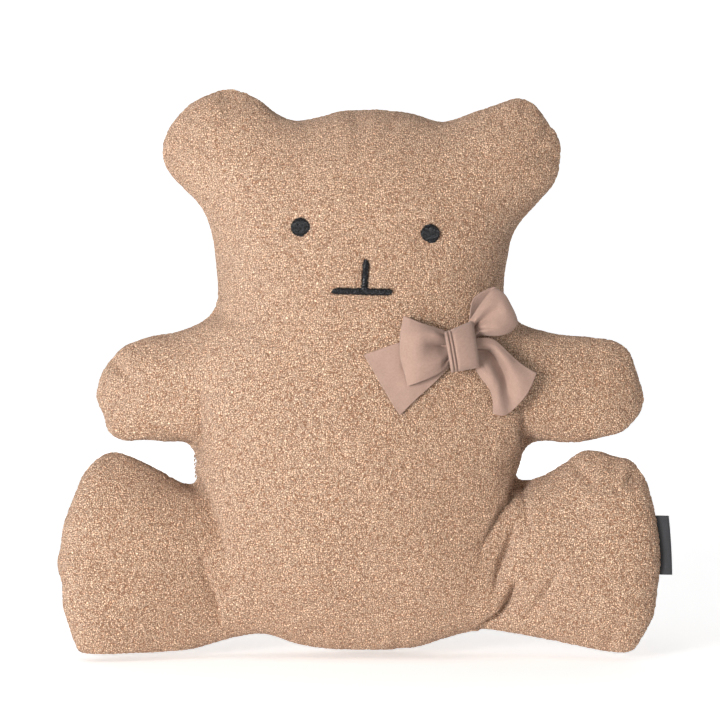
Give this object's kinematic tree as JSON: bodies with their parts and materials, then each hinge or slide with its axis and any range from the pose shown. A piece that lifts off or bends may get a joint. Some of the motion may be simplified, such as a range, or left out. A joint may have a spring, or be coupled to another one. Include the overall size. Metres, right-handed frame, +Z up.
{
  "type": "teddy bear cushion",
  "caption": "Flat-sewn curly bouclé teddy bear cushion with stuffed limbs that fold at the seams, embroidered face, side-tied fabric bow and a blank seam label.",
  "frame": {"origin": "middle of the flat underside that the bear sits on, in the plane of the seam round its outline", "axes": "+X towards the bear's left along the outstretched arms, -Y the way the bear faces, +Z up"},
  "size_m": [0.4973, 0.1514, 0.45],
  "materials": {
    "boucle": "curly teddy bouclé, matt with a soft sheen",
    "stuffing": "loose white polyester fibre",
    "embroidery_thread": "black satin stitch",
    "sewing_thread": "matt tan polyester thread",
    "bow_cotton": "crinkled plain-weave cotton, matt",
    "label_satin": "woven satin tape"
  },
  "bodies": {
    "torso": {"torso_front_panel": "boucle", "torso_back_panel": "boucle", "torso_stuffing": "stuffing", "closing_stitches": "sewing_thread", "bow_tack": "sewing_thread", "bow_knot": "bow_cotton"},
    "head": {"head_front_panel": "boucle", "head_back_panel": "boucle", "head_stuffing": "stuffing", "eye_left": "embroidery_thread", "eye_right": "embroidery_thread", "nose_stitch": "embroidery_thread", "mouth_stitch": "embroidery_thread"},
    "ear_left": {"ear_left_front_panel": "boucle", "ear_left_back_panel": "boucle", "ear_left_stuffing": "stuffing"},
    "ear_right": {"ear_right_front_panel": "boucle", "ear_right_back_panel": "boucle", "ear_right_stuffing": "stuffing"},
    "arm_left": {"arm_left_front_panel": "boucle", "arm_left_back_panel": "boucle", "arm_left_stuffing": "stuffing"},
    "arm_right": {"arm_right_front_panel": "boucle", "arm_right_back_panel": "boucle", "arm_right_stuffing": "stuffing"},
    "leg_left": {"leg_left_front_panel": "boucle", "leg_left_back_panel": "boucle", "leg_left_stuffing": "stuffing"},
    "leg_right": {"leg_right_front_panel": "boucle", "leg_right_back_panel": "boucle", "leg_right_stuffing": "stuffing"},
    "bow_left": {"bow_loop_left": "bow_cotton", "bow_tail_left": "bow_cotton"},
    "bow_right": {"bow_loop_right": "bow_cotton", "bow_tail_right": "bow_cotton"},
    "label_tab": {"label": "label_satin"}
  },
  "joints": [
    {"name": "neck_fold", "type": "hinge", "parent": "torso", "child": "head", "pos_m": [0, 0, 0.27], "axis": [1, 0, 0], "range_deg": [-14, 14], "stiffness_Nm_per_rad": 3},
    {"name": "ear_left_fold", "type": "hinge", "parent": "head", "child": "ear_left", "pos_m": [0.094, 0, 0.382], "axis": [-0.5735, 0, 0.8192], "range_deg": [-36, 36], "stiffness_Nm_per_rad": 0.3},
    {"name": "ear_right_fold", "type": "hinge", "parent": "head", "child": "ear_right", "pos_m": [-0.091, 0, 0.3855], "axis": [0.6808, 0, 0.7324], "range_deg": [-36, 36], "stiffness_Nm_per_rad": 0.3},
    {"name": "shoulder_left_fold", "type": "hinge", "parent": "torso", "child": "arm_left", "pos_m": [0.128, 0, 0.2115], "axis": [0, 0, -1], "range_deg": [-32, 38], "stiffness_Nm_per_rad": 0.5},
    {"name": "shoulder_right_fold", "type": "hinge", "parent": "torso", "child": "arm_right", "pos_m": [-0.128, 0, 0.2115], "axis": [0, 0, 1], "range_deg": [-32, 38], "stiffness_Nm_per_rad": 0.5},
    {"name": "hip_left_fold", "type": "hinge", "parent": "torso", "child": "leg_left", "pos_m": [0.112, 0, 0.055], "axis": [0, 0, -1], "range_deg": [-30, 42], "stiffness_Nm_per_rad": 1.2},
    {"name": "hip_right_fold", "type": "hinge", "parent": "torso", "child": "leg_right", "pos_m": [-0.112, 0, 0.055], "axis": [0, 0, 1], "range_deg": [-30, 42], "stiffness_Nm_per_rad": 1.2},
    {"name": "bow_left_lift", "type": "hinge", "parent": "torso", "child": "bow_left", "pos_m": [0.08869, -0.05857, 0.24639], "axis": [0.3745, -0.0178, -0.927], "range_deg": [0, 35], "stiffness_Nm_per_rad": 0.02},
    {"name": "bow_right_lift", "type": "hinge", "parent": "torso", "child": "bow_right", "pos_m": [0.06965, -0.06314, 0.23878], "axis": [-0.3745, 0.0178, 0.927], "range_deg": [0, 35], "stiffness_Nm_per_rad": 0.02},
    {"name": "label_flap", "type": "hinge", "parent": "leg_left", "child": "label_tab", "pos_m": [0.23706, -0.04064, 0.087], "axis": [-0.0454, 0.0148, 0.9989], "range_deg": [-70, 70], "stiffness_Nm_per_rad": 0.004}
  ]
}
